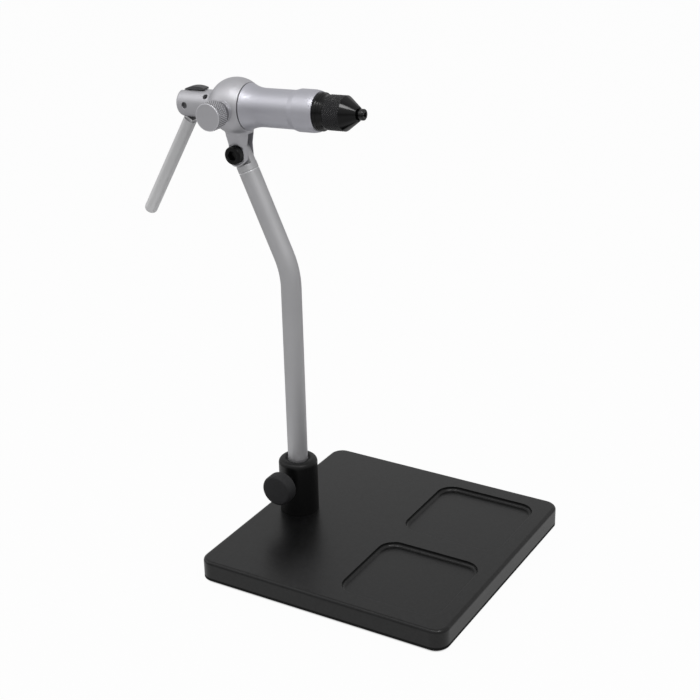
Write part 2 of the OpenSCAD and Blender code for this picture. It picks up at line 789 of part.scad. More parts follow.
// Draw bar: a rod with a flat hooked tail that reaches over the lever's pin and carries the arched
// cap that closes the top of the tail's slot
module draw_bar() {
    rod_end = collet_rear_s + ring_cap_len + face_gap;
    slot_x = -pin_back - draw_throw * sin(swing_mid);
    slot_low = draw_throw * cos(swing_mid + swing_close) - 0.1;
    slot_high = draw_throw + 0.1;
    slot_r = draw_pin_r + 0.15;
    color("#2c2c2e") at_head() {
        bar_x(drawbar_r, slot_end_s - 0.4, rod_end);
        bar_x(stud_end_r, rod_end - 1, rod_end + button_len);
        rotate([90, 0, 0]) linear_extrude(2 * blade_half, center = true) difference() {
            union() {
                translate([-web_back, -tongue_half]) square([web_back + slot_end_s, 2 * tongue_half]);
                translate([-web_back, 0]) square([web_back - web_front, cap_low + 0.5]);
                translate([-blade_end, blade_low])
                    square([blade_end - web_front, blade_top - blade_low]);
            }
            translate([slot_x - slot_r, slot_low]) square([2 * slot_r, slot_high - slot_low]);
            translate([slot_x, slot_low]) circle(slot_r);
            translate([slot_x, slot_high]) circle(slot_r);
        }
        rotate([90, 0, 0]) linear_extrude(2 * yoke_half, center = true) intersection() {
            translate([-cap_back, cap_low]) square([cap_back - cap_front, far]);
            translate([-cap_mid, cap_top - cap_r]) circle(cap_r, $fn = 240);
        }
    }
}

// Round nut on the draw bar's front end, free to turn inside the collet's cup
module draw_button() {
    from = collet_rear_s + ring_cap_len + face_gap;
    color("#8a8a8e") at_head() turned_x() band(stud_end_r + fix_gap, button_r, from, from + button_len);
}

// Point on the spring's helix, for a turn counted in curls
function coil(t) = [
    spring_start_s + (spring_end_s - spring_start_s) * t / curls,
    coil_r * cos(360 * t),
    coil_r * sin(360 * t)
];

// Return spring between the barrel and the collet: one unbroken tube on a helix
module return_spring() {
    per_curl = 8;
    sides = 6;
    rings = per_curl * curls;
    pitch = (spring_end_s - spring_start_s) / curls;
    lead = atan(pitch / (2 * PI * coil_r));
    echo(least_spring_gap = pitch * cos(lead) - wire_dia);
    points = [for (i = [0:rings], k = [0:sides - 1])
        let (p = coil(i / per_curl), a = 360 * i / per_curl, w = 360 * k / sides)
        let (out = [0, cos(a), sin(a)], up = [cos(lead), sin(a) * sin(lead), -cos(a) * sin(lead)])
        p + wire_r * (cos(w) * out + sin(w) * up)];
    skin = [for (i = [0:rings - 1], k = [0:sides - 1], half = [0, 1])
        let (a = i * sides + k, b = i * sides + (k + 1) % sides)
        half == 0 ? [a, b, b + sides] : [a, b + sides, a + sides]];
    start = [for (k = [1:sides - 2]) [0, k + 1, k]];
    end = [for (k = [1:sides - 2]) [rings * sides, rings * sides + k, rings * sides + k + 1]];
    color("#9a9a9e") at_head() polyhedron(points = points, faces = concat(skin, start, end));
}

// Lever's forked cam block: two cheeks over the draw bar's tail, joined where the rod screws in
module lever_yoke() {
    color("#2c2c2e") at_lever() difference() {
        rotate([90, 0, 0]) linear_extrude(2 * yoke_half, center = true) {
            circle(yoke_hub_r);
            translate([draw_pin_x, draw_pin_z]) circle(draw_pin_r + 1.9);
            translate([lever_offset - yoke_foot_w / 2, -yoke_drop]) square([yoke_foot_w, yoke_drop]);
        }
        translate([-far / 2, -yoke_gap_half, -yoke_bridge]) cube([far, 2 * yoke_gap_half, far]);
        bar_y(pin_r + run_gap, -far, far);
        translate([draw_pin_x, 0, draw_pin_z]) bar_y(draw_pin_r + fix_gap, -far, far);
        translate([lever_offset, 0, -yoke_drop - 1])
            cylinder(r = yoke_stub_r + fix_gap, h = yoke_drop + 1 - yoke_bridge);
    }
}

// Lever rod with a threaded stub in the yoke and a rounded end
module lever_rod() {
    color("#a8a8ac") at_lever() translate([lever_offset, 0, -yoke_drop]) {
        rotate([180, 0, 0]) rotate_extrude()
            rounded_top(lever_dia / 2, 0, lever_reach - yoke_drop, lever_end_r);
        translate([0, 0, -1]) cylinder(r = yoke_stub_r, h = yoke_drop - yoke_bridge);
    }
}

// Pin that the lever turns on
module lever_pin() {
    half = tail_r - 1;
    color("#4a4a4d") at_head() translate([-pin_back, 0, 0]) bar_y(pin_r, -half, half);
}

// Pin that pulls the draw bar
module draw_pin() {
    color("#85858a") at_lever() translate([draw_pin_x, 0, draw_pin_z])
        bar_y(draw_pin_r, -yoke_half, yoke_half);
}

base_plate();
base_pad();
post();
post_bolt();
post_liner();
clamp_knob();
clamp_stud();
clamp_tip();
stem();
stem_tang();
head_housing();
pivot_screw();
thrust_washer();
barrel();
key_pin();
retaining_grub();
lock_knob();
lock_pad();
collet_nut();
collet();
swivel_ring();
draw_bar();
draw_button();
return_spring();
lever_yoke();
lever_rod();
lever_pin();
draw_pin();
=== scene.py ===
import json
import math
import bpy
import numpy as np
from mathutils import Matrix, Vector


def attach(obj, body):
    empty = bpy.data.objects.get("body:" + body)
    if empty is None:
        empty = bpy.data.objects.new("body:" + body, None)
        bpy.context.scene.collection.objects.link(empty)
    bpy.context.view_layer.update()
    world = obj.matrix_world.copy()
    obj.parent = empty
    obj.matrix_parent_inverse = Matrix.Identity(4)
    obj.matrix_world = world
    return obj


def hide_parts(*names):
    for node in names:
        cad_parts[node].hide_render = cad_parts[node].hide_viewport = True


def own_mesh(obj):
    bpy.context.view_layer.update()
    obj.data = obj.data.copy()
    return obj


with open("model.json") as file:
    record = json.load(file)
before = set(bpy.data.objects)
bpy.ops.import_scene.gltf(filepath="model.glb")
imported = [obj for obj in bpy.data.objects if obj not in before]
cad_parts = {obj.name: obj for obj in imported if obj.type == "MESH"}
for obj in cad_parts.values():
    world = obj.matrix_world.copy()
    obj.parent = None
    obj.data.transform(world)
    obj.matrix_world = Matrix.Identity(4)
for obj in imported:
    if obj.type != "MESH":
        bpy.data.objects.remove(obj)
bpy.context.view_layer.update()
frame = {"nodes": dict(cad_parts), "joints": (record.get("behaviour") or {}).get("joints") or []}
nodes = frame["nodes"]
joints = {j["name"]: j for j in frame["joints"]}
mm = 0.001
print("frame loaded:", len(nodes), "nodes")


def unit(v):
    return np.asarray(v, float) / np.linalg.norm(v)


def jointPlace(name):
    return np.array(joints[name]["pos_m"], float)


# the head's own axes: x along the collet, y across, z square to both, origin in the middle of the ball
headOrigin = jointPlace("barrel_spin")
headX = unit(joints["barrel_spin"]["axis"])
headY = np.array([0.0, 1.0, 0.0])
headZ = np.cross(headX, headY)
headTilt = math.atan2(headX[2], headX[0])
pivotOrigin = jointPlace("head_tilt")
clampOrigin = jointPlace("clamp_turn")
leverOrigin = jointPlace("lever_swing")

# camera, from the lines of the base's edges and the outline in the picture: place in metres, angles in
# degrees, lens and sensor in millimetres
cameraSet = {
    "place": (0.35975, -0.63873, 0.44808),
    "azimuth": 30.73,
    "elevation": 23.708,
    "roll": -1.321,
    "lens": 76.0,
    "sensor": 36.0,
    "clip": (0.01, 50.0),
}


def setCamera(c):
    a, e, r = (math.radians(c[k]) for k in ("azimuth", "elevation", "roll"))
    back = Vector((math.sin(a) * math.cos(e), -math.cos(a) * math.cos(e), math.sin(e)))
    right = Vector((math.cos(a), math.sin(a), 0))
    up = back.cross(right)
    rolledRight = right * math.cos(r) + up * math.sin(r)
    rolledUp = up * math.cos(r) - right * math.sin(r)
    data = bpy.data.cameras.new("pictureCamera")
    data.sensor_fit = "HORIZONTAL"
    data.sensor_width = c["sensor"]
    data.lens = c["lens"]
    data.clip_start, data.clip_end = c["clip"]
    cam = bpy.data.objects.new("pictureCamera", data)
    turn = Matrix((rolledRight, rolledUp, back)).transposed().to_4x4()
    cam.matrix_world = Matrix.Translation(c["place"]) @ turn
    bpy.context.scene.collection.objects.link(cam)
    bpy.context.scene.camera = cam


setCamera(cameraSet)
bpy.context.scene.view_settings.view_transform = "Standard"
print("camera set")


# nodes of a material, by short calls
def addNode(tree, kind, values=None, **settings):
    n = tree.nodes.new("ShaderNode" + kind)
    for key, value in settings.items():
        setattr(n, key, value)
    for key, value in (values or {}).items():
        n.inputs[key].default_value = value
    return n


def joinNodes(tree, out, outName, into, intoName):
    tree.links.new(out.outputs[outName], into.inputs[intoName])


# what the finishes share: settings of the noises, the span that most of a noise lies in, samples of a
# softened edge, and the colour mix node's sockets, by number because several have one name
driftNoise = {"Detail": 3.0, "Roughness": 0.55}
grainNoise = {"Detail": 2.0, "Roughness": 0.6}
lineNoise = {"Scale": 1.0, "Detail": 2.0, "Roughness": 0.7}
noiseLow, noiseHigh = 0.3, 0.7
edgeSamples = 6
mixShare, mixFirst, mixSecond, mixResult = 0, 6, 7, 2


def addNoise(tree, coords, scale, settings):  # noise in the piece's own coordinates
    noise = addNode(tree, "TexNoise", dict(settings, Scale=scale))
    joinNodes(tree, coords, "Object", noise, "Vector")
    return noise


def addTint(tree, coords, f):  # colour drifts slowly over the piece
    drift = addNoise(tree, coords, f["driftScale"], driftNoise)
    tint = addNode(tree, "ValToRGB")
    first, last = tint.color_ramp.elements
    first.position, last.position = noiseLow, noiseHigh
    first.color, last.color = (*f["dark"], 1), (*f["light"], 1)
    joinNodes(tree, drift, "Fac", tint, "Fac")
    return tint, "Color"


def addReliefShading(tree, colour, levels):  # painted shade in a knurl's valleys and painted highlights on its crests
    cut = addNode(tree, "Attribute", attribute_name="reliefShading")
    shadeAndHighlight = addNode(tree, "MapRange", {"To Min": levels[0], "To Max": levels[1]})
    joinNodes(tree, cut, "Fac", shadeAndHighlight, "Value")
    shadedColour = addNode(tree, "VectorMath", operation="SCALE")
    joinNodes(tree, *colour, shadedColour, "Vector")
    joinNodes(tree, shadeAndHighlight, "Result", shadedColour, "Scale")
    return shadedColour, "Vector"


def addZone(tree, coords, colour, z):  # another colour takes over along an axis, from start to end
    along = addNode(tree, "VectorMath", {1: z["axis"]}, operation="DOT_PRODUCT")
    joinNodes(tree, coords, "Object", along, 0)
    inside = addNode(tree, "MapRange", {"From Min": z["start"], "From Max": z["end"]})
    joinNodes(tree, along, "Value", inside, "Value")
    painted = addNode(tree, "Mix", {mixSecond: (*z["colour"], 1)}, data_type="RGBA")
    joinNodes(tree, inside, "Result", painted, mixShare)
    joinNodes(tree, *colour, painted, mixFirst)
    return (painted, mixResult), inside


# a fine grain changes the gloss and lifts the surface, edges are softened by the edge radius, and a zone's
# own roughness takes over with the zone
def addGrain(tree, coords, shader, f, inside):
    grain = addNoise(tree, coords, f["grainScale"], grainNoise)
    gloss = addNode(tree, "MapRange", {"From Min": noiseLow, "From Max": noiseHigh,
                                       "To Min": f["rough"][0], "To Max": f["rough"][1]})
    joinNodes(tree, grain, "Fac", gloss, "Value")
    if "rough" in f.get("zone", {}):
        matte = addNode(tree, "MapRange", {"To Max": f["zone"]["rough"]})
        joinNodes(tree, inside, "Result", matte, "Value")
        joinNodes(tree, gloss, "Result", matte, "To Min")
        gloss = matte
    joinNodes(tree, gloss, "Result", shader, "Roughness")
    bump = addNode(tree, "Bump", {"Strength": f["grainStrength"], "Distance": f["grainDepth"]})
    joinNodes(tree, grain, "Fac", bump, "Height")
    if "edge" in f:
        soft = addNode(tree, "Bevel", {"Radius": f["edge"]}, samples=edgeSamples)
        joinNodes(tree, soft, "Normal", bump, "Normal")
    return bump


def addLines(tree, coords, f, bump):  # thin lines run round the axis that turn brings onto x
    turn = addNode(tree, "Mapping", {"Rotation": f["turn"], "Scale": f["lines"]})
    joinNodes(tree, coords, "Object", turn, "Vector")
    rings = addNode(tree, "TexNoise", lineNoise)
    joinNodes(tree, turn, "Vector", rings, "Vector")
    groove = addNode(tree, "Bump", {"Strength": f["lineStrength"], "Distance": f["lineDepth"]})
    joinNodes(tree, rings, "Fac", groove, "Height")
    joinNodes(tree, bump, "Normal", groove, "Normal")
    return groove


def makeFinish(name, f):
    m = bpy.data.materials.new(name)
    m.use_nodes = True
    tree = m.node_tree
    shader = tree.nodes["Principled BSDF"]
    for key, value in f["shader"].items():
        shader.inputs[key].default_value = value
    coords = addNode(tree, "TexCoord")
    colour, inside = addTint(tree, coords, f), None
    if "reliefShading" in f:
        colour = addReliefShading(tree, colour, f["reliefShading"])
    if "zone" in f:
        colour, inside = addZone(tree, coords, colour, f["zone"])
    joinNodes(tree, *colour, shader, "Base Color")
    bump = addGrain(tree, coords, shader, f, inside)
    if "lines" in f:
        bump = addLines(tree, coords, f, bump)
    joinNodes(tree, bump, "Normal", shader, "Normal")
    return m


# turns that bring an axis onto x, directions down the lever and up the stem's leaning part, and places on them
alongHead = (0.0, headTilt, 0.0)
alongPost = (0.0, math.pi / 2, 0.0)
stemLean, leverLean = math.radians(24.1), math.radians(32.8)
stemUp = np.array([-math.sin(stemLean), 0.0, math.cos(stemLean)])
leverDown = -math.sin(leverLean) * headX - math.cos(leverLean) * headZ
stemEnd = float(pivotOrigin @ stemUp) - 10.5 * mm  # top end of the stem
leverPin = float(leverOrigin @ leverDown)
yokeEnd = leverPin + 9.0 * mm  # lower end of the yoke's foot

# finishes: colours, noise scales per metre, depths and edge radii in metres
satinAlloy = {
    "shader": {"Metallic": 1.0},
    "dark": (0.551, 0.548, 0.573), "light": (0.589, 0.586, 0.613),
    "driftScale": 45.0, "grainScale": 5200.0, "grainStrength": 0.18, "grainDepth": 0.00003,
    "rough": (0.47, 0.55), "edge": 0.00025,
}
turnedAlloy = dict(
    satinAlloy, dark=(0.546, 0.545, 0.591), light=(0.581, 0.580, 0.629), rough=(0.44, 0.52),
    lines=(3600.0, 25.0, 25.0), turn=alongHead, lineStrength=0.14, lineDepth=0.00003)
# the knob's knurl colour runs from 0.3 times in the valleys to 1.5 times on the crests: painted shade and painted
# highlights
knobAlloy = dict(satinAlloy, rough=(0.38, 0.46), reliefShading=(0.3, 1.5))
blastedSteel = {
    "shader": {"Metallic": 1.0},
    "dark": (0.558, 0.557, 0.570), "light": (0.594, 0.593, 0.606),
    "driftScale": 40.0, "grainScale": 5200.0, "grainStrength": 0.2, "grainDepth": 0.00003,
    "rough": (0.54, 0.62), "edge": 0.00025,
}
# painted highlight: a bright band at the stem's top end, where the seam's bevel catches the light
stemSteel = dict(blastedSteel, edge=0.0009, zone={
    "axis": tuple(stemUp), "start": stemEnd - 0.6 * mm, "end": stemEnd - 0.4 * mm, "colour": (0.95, 0.95, 0.96)})
# painted light: lighter towards the lever's free end, which stands further from the head's shade
leverSteel = dict(blastedSteel, dark=(0.660, 0.660, 0.668), light=(0.700, 0.700, 0.708), zone={
    "axis": tuple(leverDown), "start": leverPin + 15 * mm, "end": leverPin + 80 * mm,
    "colour": (0.83, 0.83, 0.838)})
oxideSteel = {
    "shader": {"Metallic": 0.0, "IOR": 1.30},
    "dark": (0.0022, 0.0022, 0.0024), "light": (0.0036, 0.0036, 0.0039),
    "driftScale": 120.0, "grainScale": 5000.0, "grainStrength": 0.15, "grainDepth": 0.00002,
    "rough": (0.20, 0.28), "edge": 0.00015,
}
colletOxide = dict(oxideSteel, shader={"Metallic": 0.0, "IOR": 1.5}, rough=(0.16, 0.22))
# the nut's knurl colour runs from 0.3 times in the valleys to 14 times on the crests: painted shade and painted
# highlights
turnedOxide = dict(
    oxideSteel, shader={"Metallic": 0.0, "IOR": 1.36}, rough=(0.13, 0.17), reliefShading=(0.3, 14.0),
    lines=(5000.0, 40.0, 40.0), turn=alongHead, lineStrength=0.10, lineDepth=0.00002)
powderCoat = {
    "shader": {"Metallic": 0.0, "IOR": 1.43},
    "dark": (0.0010, 0.0010, 0.0011), "light": (0.0062, 0.0062, 0.0065),
    "driftScale": 650.0, "grainScale": 2200.0, "grainStrength": 0.22, "grainDepth": 0.00003,
    "rough": (0.28, 0.36), "edge": 0.0003,
}
# painted shade: a dark dull line at the plate's lower edge, for the shadow beneath the edge over the inset pad
plateCoat = dict(powderCoat, zone={
    "axis": (0, 0, 1), "start": 2.95 * mm, "end": 2.85 * mm, "colour": (0.0005, 0.0005, 0.0005), "rough": 1.0})
postBlack = dict(
    powderCoat, shader={"Metallic": 0.0, "IOR": 1.36}, dark=(0.0020, 0.0020, 0.0021), light=(0.0032, 0.0032, 0.0034),
    driftScale=30.0, grainScale=4200.0, grainStrength=0.15, rough=(0.36, 0.44),
    lines=(3000.0, 30.0, 30.0), turn=alongPost, lineStrength=0.1, lineDepth=0.00002)
knobPlastic = {
    "shader": {"Metallic": 0.0, "IOR": 1.4},
    "dark": (0.0125, 0.0125, 0.0138), "light": (0.0165, 0.0165, 0.018),
    "driftScale": 90.0, "grainScale": 2400.0, "grainStrength": 0.35, "grainDepth": 0.00005,
    "rough": (0.58, 0.70), "edge": 0.0006,
}
linerPlastic = dict(knobPlastic, dark=(0.012, 0.012, 0.0135), light=(0.017, 0.017, 0.019))
padRubber = {
    "shader": {"Metallic": 0.0, "IOR": 1.4},
    "dark": (0.005, 0.005, 0.005), "light": (0.008, 0.008, 0.008),
    "driftScale": 60.0, "grainScale": 1200.0, "grainStrength": 0.5, "grainDepth": 0.0001,
    "rough": (0.75, 0.9),
}
plainSteel = {
    "shader": {"Metallic": 1.0},
    "dark": (0.40, 0.40, 0.405), "light": (0.47, 0.47, 0.475),
    "driftScale": 150.0, "grainScale": 5000.0, "grainStrength": 0.15, "grainDepth": 0.00002,
    "rough": (0.26, 0.36), "edge": 0.00015,
}
darkSteel = dict(plainSteel, dark=(0.110, 0.110, 0.114), light=(0.150, 0.150, 0.155), rough=(0.40, 0.50))
# the foot's lower end is as bright as the lever
yokeSteel = dict(plainSteel, dark=(0.055, 0.055, 0.058), light=(0.080, 0.080, 0.084), rough=(0.40, 0.50), zone={
    "axis": tuple(leverDown), "start": yokeEnd - 1.5 * mm, "end": yokeEnd - 1.3 * mm, "colour": (0.70, 0.70, 0.708)})
plainBrass = dict(plainSteel, dark=(0.55, 0.41, 0.17), light=(0.64, 0.49, 0.22))

finishes = {
    "satinAlloy": satinAlloy, "turnedAlloy": turnedAlloy, "knobAlloy": knobAlloy, "blastedSteel": blastedSteel,
    "stemSteel": stemSteel, "leverSteel": leverSteel, "plateCoat": plateCoat, "yokeSteel": yokeSteel,
    "oxideSteel": oxideSteel, "colletOxide": colletOxide, "turnedOxide": turnedOxide, "postBlack": postBlack,
    "knobPlastic": knobPlastic, "linerPlastic": linerPlastic, "padRubber": padRubber, "plainSteel": plainSteel,
    "darkSteel": darkSteel, "plainBrass": plainBrass,
}
materials = {name: makeFinish(name, f) for name, f in finishes.items()}

nodeFinish = {
    "base_plate": "plateCoat", "base_pad": "padRubber", "post": "postBlack", "post_bolt": "oxideSteel",
    "post_liner": "linerPlastic", "clamp_knob": "knobPlastic", "clamp_stud": "plainSteel", "clamp_tip": "plainBrass",
    "stem": "stemSteel", "stem_tang": "blastedSteel", "head_housing": "satinAlloy", "pivot_screw": "oxideSteel",
    "thrust_washer": "linerPlastic", "barrel": "turnedAlloy", "key_pin": "plainSteel", "retaining_grub": "darkSteel",
    "lock_knob": "knobAlloy", "lock_pad": "plainBrass", "collet_nut": "turnedOxide", "collet": "colletOxide",
    "swivel_ring": "plainSteel", "draw_bar": "darkSteel", "draw_button": "plainSteel", "return_spring": "plainSteel",
    "lever_yoke": "yokeSteel", "lever_rod": "leverSteel", "lever_pin": "darkSteel", "draw_pin": "plainSteel",
}
for name, finish in nodeFinish.items():
    nodes[name].data.materials.clear()
    nodes[name].data.materials.append(materials[finish])
print("finishes made:", len(materials))


# rounds the corners of an outline: both sides are cut back by the corner's cut, at most a share of the shorter
# one, and a parabola that touches both of them joins the ends; points nearer than near become one
def roundCorners(corners, steps=5, most=0.45, near=1e-6):
    c = np.asarray(corners, float)
    p, cut = c[:, :2], c[:, 2]
    back, ahead = np.roll(p, 1, 0) - p, np.roll(p, -1, 0) - p
    backLength, aheadLength = np.linalg.norm(back, axis=1), np.linalg.norm(ahead, axis=1)
    cut = np.minimum(cut, most * np.minimum(backLength, aheadLength))
    a = p + back * (cut / backLength)[:, None]
    b = p + ahead * (cut / aheadLength)[:, None]
    t = np.linspace(0, 1, steps)[:, None, None]
    points = ((1 - t) ** 2 * a + 2 * t * (1 - t) * p + t ** 2 * b).transpose(1, 0, 2).reshape(-1, 2)
    return points[np.linalg.norm(points - np.roll(points, 1, 0), axis=1) > near]


# knurl of pyramids: two sets of helical grooves cross, and the height is the lower of their triangle waves
def knurlHeight(turn, along, count, pitch):
    a, b = count * turn + along / pitch, count * turn - along / pitch
    return np.minimum(2 * np.abs(a - np.round(a)), 2 * np.abs(b - np.round(b)))


def cutKnurl(piece, band, radius, height):  # lowers the band from its crest by the knurl
    return np.where(band, np.minimum(radius, piece["knurl"][2] - piece["knurlDepth"] * (1 - height)), radius)


# painted shade and highlight by the knurl's height where a knurl is cut, and elsewhere the level that leaves the
# finish's colour as it is
def knurlReliefShading(piece, band, height):
    low, high = finishes[piece["finish"]]["reliefShading"]
    return np.where(band, height, (1 - low) / (high - low))


def bandRows(start, end, radius, count):  # plain rows along a cylinder, with no rounding
    s = np.linspace(start, end, count)
    return np.stack([s, np.full(count, radius), np.zeros(count)], -1)


def turnsRound(columns):  # columns round an axis, in whole turns
    return np.arange(columns)[None] / columns


# points round an axis: the place along it, plus the radius turned through turn (in whole turns)
def spinAbout(origin, axis, side, along, radius, turn):
    axis, side = unit(axis), unit(side)
    up = np.cross(axis, side)
    along, radius, angle = np.broadcast_arrays(along, radius, 2 * np.pi * turn)
    ring = np.cos(angle)[..., None] * side + np.sin(angle)[..., None] * up
    return origin + mm * (along[..., None] * axis + radius[..., None] * ring)


# closed skin on a grid of points, rows along the outline and columns round the axis: the rows meet
# again when ring is set, and otherwise a flat cap closes each end; the volume's sign turns it outwards
def skinGrid(grid, ring):
    rows, cols = grid.shape[:2]
    index = np.arange(rows * cols).reshape(rows, cols)
    here = index if ring else index[:-1]
    ahead = np.roll(index, -1, 0) if ring else index[1:]
    quads = np.stack([here, np.roll(here, -1, 1), np.roll(ahead, -1, 1), ahead], -1).reshape(-1, 4)
    points = grid.reshape(-1, 3)
    a, b, c, d = (points[quads[:, k]] - points.mean(0) for k in range(4))
    volume = np.sum(a * (np.cross(b, c) + np.cross(c, d)))
    order = -1 if volume < 0 else 1
    faces = quads[:, ::order].tolist()
    if not ring:
        faces += [index[0][::-order].tolist(), index[-1][::order].tolist()]
    return points, faces


# a finished piece: its mesh in place, its finish, its body, and the solid that it stands for; the relief shading is
# 1 on a knurl's crests and 0 in its valleys, and scales the colour into painted highlight and painted shade
def addPiece(piece, grid, ring=False, reliefShading=None):
    points, faces = skinGrid(grid, ring)
    mesh = bpy.data.meshes.new(piece["name"])
    mesh.from_pydata(points.tolist(), [], faces)
    mesh.shade_smooth()
    mesh.set_sharp_from_angle(angle=math.radians(piece["sharp"]))
    mesh.materials.append(materials[piece["finish"]])
    if reliefShading is not None:
        values = reliefShading.ravel().astype(np.float32)
        mesh.attributes.new("reliefShading", "FLOAT", "POINT").data.foreach_set("value", values)
    obj = bpy.data.objects.new(piece["name"], mesh)
    bpy.context.scene.collection.objects.link(obj)
    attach(obj, piece["body"])
    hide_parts(piece["node"])
    print("piece", piece["name"], len(faces), "faces")
    return obj


# nose nut: places along the head's axis and radii in millimetres, and a corner's rounding third; the knurl has
# its start, its end and the radius of its crests
colletNut = {
    "name": "noseNutKnurled", "node": "collet_nut", "body": "nose", "slot": "black_steel",
    "finish": "turnedOxide", "sharp": 50, "columns": 414,
    "knurl": (58.6, 67.8, 9.35), "knurlCount": 46, "knurlPitch": 1.25, "knurlDepth": 0.42, "knurlRows": 110,
    "bandPast": (0.25, 0.3), "bandBelow": 0.5,
    "ridges": (54.0, 56.7), "ridgeCount": 3, "ridgeDepth": 0.24, "ridgeShape": 0.7, "ridgeRows": 48,
    "taper": ((54.9, 57.0), (10.1, 8.75)),
    "rear": [(43.6, 4.65, 0.15), (43.6, 7.5, 0.4), (52.7, 7.5, 0.05), (52.7, 9.7, 0.1), (53.1, 10.1, 0.15)],
    "valley": [(57.0, 8.75, 0.12), (57.8, 8.75, 0.12)],
    "front": [(68.2, 9.25, 0.3), (75.4, 3.9, 0.25), (75.4, 3.08, 0.1), (72.6, 2.7, 0.2), (61.6, 2.7, 0.1),
              (61.6, 4.65, 0.1)],
}


# lathe of the nut's outline: the ring narrows in a straight line, its ridges are cosine waves in the radius,
# and the knurl lowers the band, with painted highlights on its crests and painted shade in its valleys
def makeColletNut(n):
    first, last = n["ridges"]
    ridge = bandRows(first, last, 0, n["ridgeRows"])
    wave = (ridge[:, 0] - first) / (last - first) * n["ridgeCount"]
    dip = (0.5 - 0.5 * np.cos(2 * np.pi * wave)) ** n["ridgeShape"]
    ridge[:, 1] = np.interp(ridge[:, 0], *n["taper"]) - n["ridgeDepth"] * dip
    start, end, crest = n["knurl"]
    band = bandRows(start, end, crest, n["knurlRows"])
    outline = roundCorners(np.concatenate([n["rear"], ridge, n["valley"], band, n["front"]]))
    along, radius = outline[:, :1], outline[:, 1:]
    turn = turnsRound(n["columns"])
    height = knurlHeight(turn, along, n["knurlCount"], n["knurlPitch"])
    before, after = n["bandPast"]
    inBand = (along > start - before) & (along < end + after) & (radius > crest - n["bandBelow"])
    radius = cutKnurl(n, inBand, radius, height)
    grid = spinAbout(headOrigin, headX, headY, along, radius, turn)
    # the knurl's crests are painted bright as highlights and its valleys dark as shade
    addPiece(n, grid, ring=True, reliefShading=knurlReliefShading(n, inBand, height))


makeColletNut(colletNut)

# lock knob: distances from the ball's middle towards the tyer, radii and roundings
lockKnob = {
    "name": "lockKnobKnurled", "node": "lock_knob", "body": "lock_screw", "slot": "silver",
    "finish": "knobAlloy", "sharp": 50, "columns": 440,
    "knurl": (20.3, 27.2, 7.8), "knurlCount": 40, "knurlPitch": 2.2, "knurlDepth": 0.45, "knurlRows": 90,
    "bandInside": 0.05, "bandBelow": 0.55,
    # painted shade on the shank behind the knob and a painted highlight on its front chamfer
    "shankShade": 0.25, "shankPast": 0.02, "chamferHighlight": 0.85, "chamferBelow": 0.15,
    "shank": [(7.85, 2.1, 0), (8.25, 2.5, 0.1), (17.0, 2.5, 0.1), (17.0, 4.6, 0.25), (19.7, 4.6, 0.2),
              (19.7, 7.2, 0.1)],
    "face": [(27.8, 7.2, 0.12), (27.8, 6.95, 0), (27.8, 5.0, 0), (27.8, 2.0, 0), (27.8, 0.4, 0)],
}


# lathe of the knob's outline towards the tyer, its rim lowered by the knurl; the knurl runs out in the chamfers,
# the shank is painted dark as shade in the gap behind the knob, and the front chamfer painted bright as a highlight
def makeLockKnob(k):
    start, end, crest = k["knurl"]
    band = bandRows(start, end, crest, k["knurlRows"])
    outline = roundCorners(np.concatenate([k["shank"], band, k["face"]]))
    along, radius = outline[:, :1], outline[:, 1:]
    turn = turnsRound(k["columns"])
    height = knurlHeight(turn, along, k["knurlCount"], k["knurlPitch"])
    back, (front, rim) = k["shank"][-1][0], k["face"][0][:2]
    inBand = (along > back + k["bandInside"]) & (along < front - k["bandInside"]) & (radius > crest - k["bandBelow"])
    radius = cutKnurl(k, inBand, radius, height)
    # painted shade on the shank, painted highlights and shade on the knurl, and a painted highlight on the front
    # chamfer
    reliefShading = np.where(along < back + k["shankPast"], k["shankShade"], knurlReliefShading(k, inBand, height))
    chamfer = (along > end + k["bandInside"]) & (radius > rim - k["chamferBelow"])
    reliefShading = np.where(chamfer, k["chamferHighlight"], reliefShading)
    addPiece(k, spinAbout(headOrigin, -headY, headX, along, radius, turn), reliefShading=reliefShading)


makeLockKnob(lockKnob)

# pivot screw: distances from the pivot towards the tyer, radii and roundings
pivotScrew = {
    "name": "pivotScrewSocket", "node": "pivot_screw", "body": "head", "slot": "black_steel",
    "finish": "oxideSteel", "sharp": 40, "columns": 384,
    "hexCorner": 2.9, "floorShare": 0.3, "socketFloor": 6.69, "socketMouth": 8.85, "crown": 9.05, "mouthRadius": 3.1,
    "knurl": (5.55, 8.25, 5.0), "knurlCount": 48, "knurlDepth": 0.13, "knurlRows": 24,
    "bandPast": (0.3, 0.2), "bandBelow": 0.2,
    "rim": [(9.05, 3.4, 0.05), (9.05, 4.55, 0.15), (8.6, 5.0, 0.2)],
    "shank": [(5.15, 5.0, 0.1), (4.75, 4.75, 0.1), (4.75, 3.0, 0.1), (-5.75, 3.0, 0.1), (-6.05, 2.65, 0)],
}


